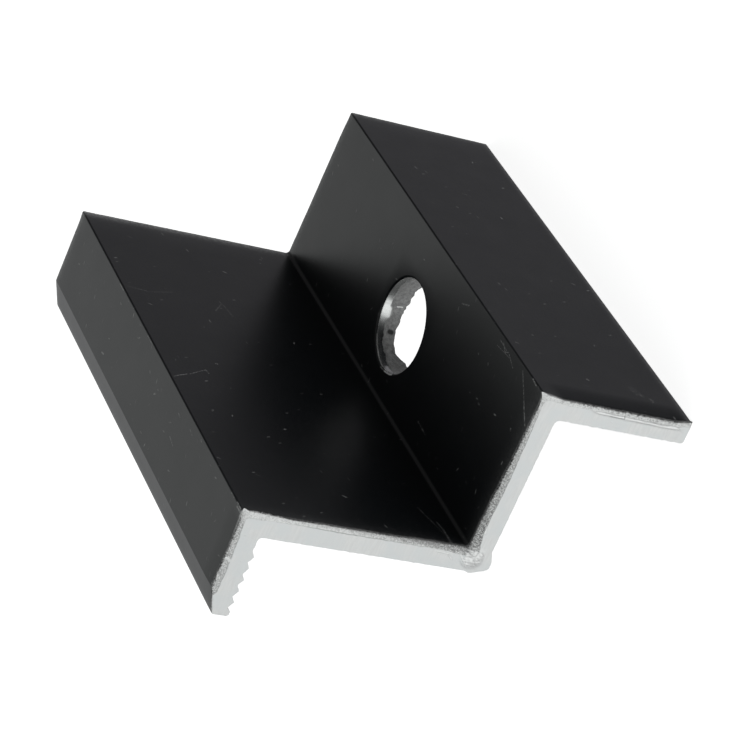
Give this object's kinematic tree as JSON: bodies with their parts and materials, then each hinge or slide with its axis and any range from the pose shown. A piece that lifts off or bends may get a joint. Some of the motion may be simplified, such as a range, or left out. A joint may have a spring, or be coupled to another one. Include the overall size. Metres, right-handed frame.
{
  "type": "solar panel end clamp",
  "caption": "Stepped aluminium end clamp for the edge of a framed solar module: toothed lip, wall, plate with a bolt hole, and leg down to the rail.",
  "frame": {"origin": "on the bolt hole's axis, on the plate's top face, where the bolt head or washer sits", "axes": "+Z along the bolt's axis, up and away from the rail; +Y along the extrusion; the lip points to -X"},
  "size_m": [0.026, 0.05, 0.0367],
  "materials": {
    "black_anodised": "satin black anodised faces, bare aluminium on the sawn ends and in the punched hole"
  },
  "bodies": {
    "root": {"end_clamp": "black_anodised"}
  },
  "joints": []
}
